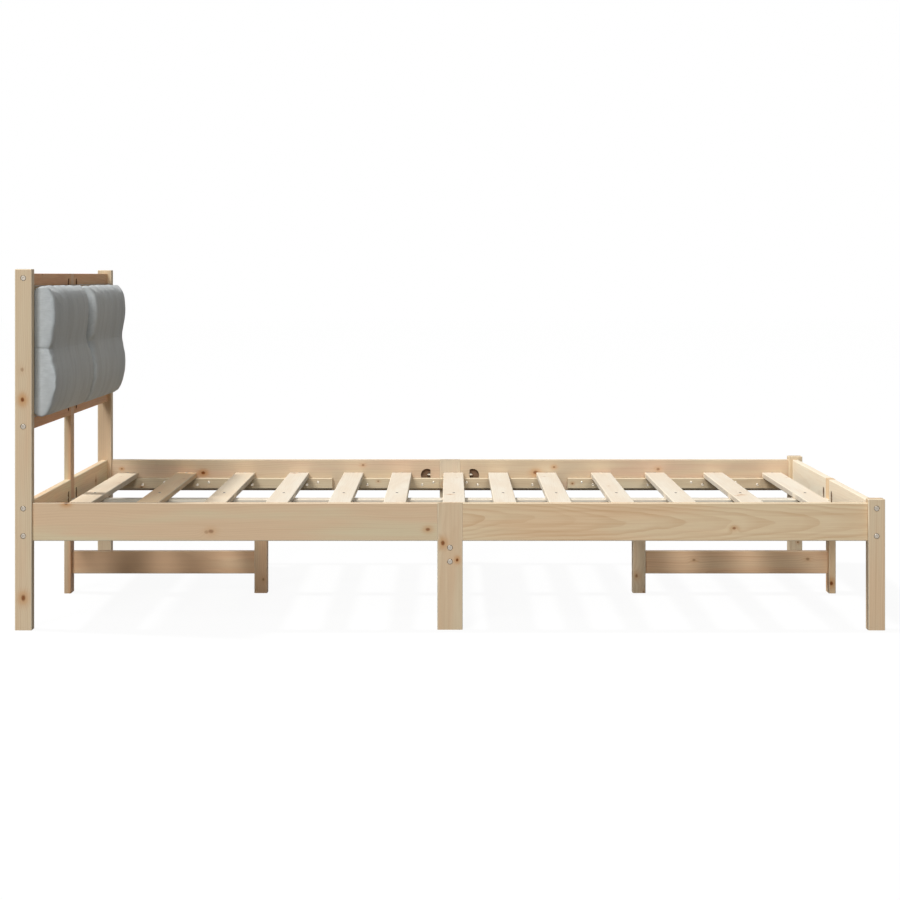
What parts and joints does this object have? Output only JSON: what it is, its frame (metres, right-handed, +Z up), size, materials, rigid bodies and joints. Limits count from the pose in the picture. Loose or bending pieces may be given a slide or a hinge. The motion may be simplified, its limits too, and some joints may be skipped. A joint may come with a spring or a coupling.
{
  "type": "bed frame",
  "caption": "Low slatted pine bed frame with square corner posts, jointed rails, centre support legs and a headboard with padded grey fabric cushions.",
  "frame": {"origin": "on the floor, under the middle of the frame's length and width", "axes": "+X towards the foot end, +Y towards the right side as seen from the foot end, +Z up"},
  "size_m": [2.055, 1.455, 0.853],
  "materials": {
    "pine_upright": "planed pine, upright grain, clear",
    "pine_rail": "planed pine, lengthwise grain, clear",
    "pine_support": "planed pine, lengthwise grain, clear",
    "pine_slat": "pale planed pine",
    "plywood": "sanded plywood",
    "grey_fabric": "woven grey fabric over soft filling",
    "beech": "fluted dowel",
    "zinc_steel": "bright zinc plate"
  },
  "bodies": {
    "root": {"head_post_left": "pine_upright", "head_post_right": "pine_upright", "head_centre_post": "pine_upright", "headboard_top_rail_left": "pine_rail", "headboard_top_rail_right": "pine_rail", "headboard_low_rail_left": "pine_rail", "headboard_low_rail_right": "pine_rail", "head_rail_left": "pine_rail", "head_rail_right": "pine_rail", "foot_post_left": "pine_upright", "foot_post_right": "pine_upright", "foot_centre_leg": "pine_upright", "foot_rail_left": "pine_rail", "foot_rail_right": "pine_rail", "side_rail_left_head": "pine_rail", "side_rail_left_foot": "pine_rail", "side_rail_right_head": "pine_rail", "side_rail_right_foot": "pine_rail", "side_leg_left": "pine_upright", "side_leg_right": "pine_upright", "leg_block_left": "pine_support", "leg_block_right": "pine_support", "ledger_left_1": "pine_support", "ledger_left_2": "pine_support", "ledger_left_3": "pine_support", "ledger_left_4": "pine_support", "ledger_right_1": "pine_support", "ledger_right_2": "pine_support", "ledger_right_3": "pine_support", "ledger_right_4": "pine_support", "cross_beam": "pine_support", "centre_beam_head": "pine_support", "centre_beam_foot": "pine_support", "centre_leg_head": "pine_upright", "centre_leg_foot": "pine_upright", "stretcher_head": "pine_support", "stretcher_foot": "pine_support", "slat_01": "pine_slat", "slat_02": "pine_slat", "slat_03": "pine_slat", "slat_04": "pine_slat", "slat_05": "pine_slat", "slat_06": "pine_slat", "slat_07": "pine_slat", "slat_08": "pine_slat", "slat_09": "pine_slat", "slat_10": "pine_slat", "slat_11": "pine_slat", "slat_12": "pine_slat", "slat_13": "pine_slat", "back_board_left": "plywood", "back_board_right": "plywood", "cushion_left": "grey_fabric", "cushion_right": "grey_fabric", "frame_bolts": "zinc_steel", "threaded_inserts": "zinc_steel", "joint_rods": "zinc_steel", "dowels": "beech", "wood_screws": "zinc_steel", "board_screws": "zinc_steel"}
  },
  "joints": []
}
